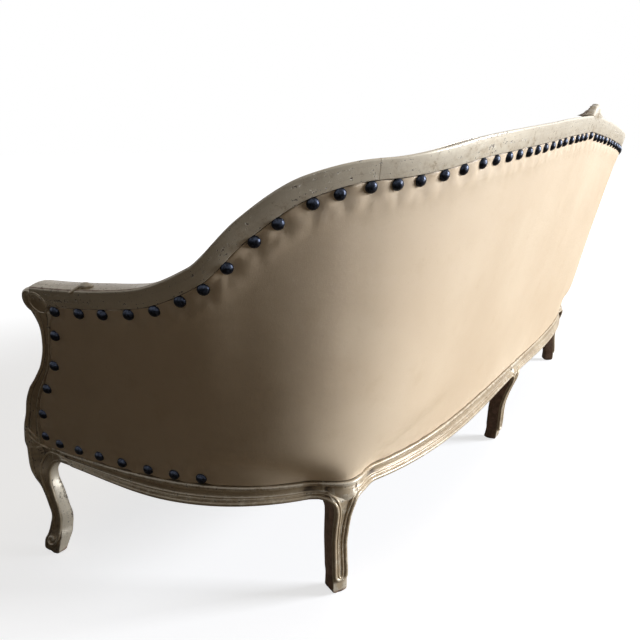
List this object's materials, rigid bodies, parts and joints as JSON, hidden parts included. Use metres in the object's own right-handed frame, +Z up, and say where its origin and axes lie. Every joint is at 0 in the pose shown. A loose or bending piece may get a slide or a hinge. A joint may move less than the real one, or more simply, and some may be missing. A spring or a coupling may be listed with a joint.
{
  "type": "cabriole sofa",
  "caption": "Sofa with a curved, raked back that sweeps down into scrolled arms, a gilt show-wood frame on cabriole legs, and nailed leather covers.",
  "frame": {"origin": "on the floor under the middle of the sofa's bounding box", "axes": "+X along the sofa to the left arm of someone sitting on it, +Y from the front to the back, +Z up"},
  "size_m": [2.3628, 0.9078, 0.9714],
  "materials": {
    "gilt_wood": "worn pale gilt, satin",
    "leather": "smooth, satin",
    "beech": "raw",
    "jute": "coarse weave",
    "lining": "thin black lining"
  },
  "bodies": {
    "root": {"crest_rail": "gilt_wood", "crest_ornament": "gilt_wood", "arm_rail_left": "gilt_wood", "arm_rail_right": "gilt_wood", "arm_bud_left": "gilt_wood", "arm_bud_right": "gilt_wood", "arm_post_left": "gilt_wood", "arm_post_right": "gilt_wood", "leg_front_left": "gilt_wood", "leg_front_right": "gilt_wood", "leg_rear_left": "gilt_wood", "leg_rear_right": "gilt_wood", "leg_rear_centre": "gilt_wood", "leg_front_centre": "gilt_wood", "seat_rail_side_left": "gilt_wood", "seat_rail_side_right": "gilt_wood", "seat_rail_back_left": "gilt_wood", "seat_rail_back_right": "gilt_wood", "seat_rail_front_left": "gilt_wood", "seat_rail_front_right": "gilt_wood", "back_upright_centre": "beech", "back_upright_left": "beech", "back_upright_right": "beech", "corner_upright_left": "beech", "corner_upright_right": "beech", "arm_upright_left": "beech", "arm_upright_right": "beech", "seat_stretcher_centre": "beech", "seat_stretcher_left": "beech", "seat_stretcher_right": "beech", "rear_corner_block_left": "beech", "rear_corner_block_right": "beech", "front_corner_block_left": "beech", "front_corner_block_right": "beech", "seat_webbing": "jute", "dust_cover": "lining", "back_hessian": "jute", "arm_hessian_left": "jute", "arm_hessian_right": "jute", "outside_leather": "leather", "inside_back_pad": "leather", "inside_arm_pad_left": "leather", "inside_arm_pad_right": "leather", "seat_pad": "leather"}
  },
  "joints": []
}
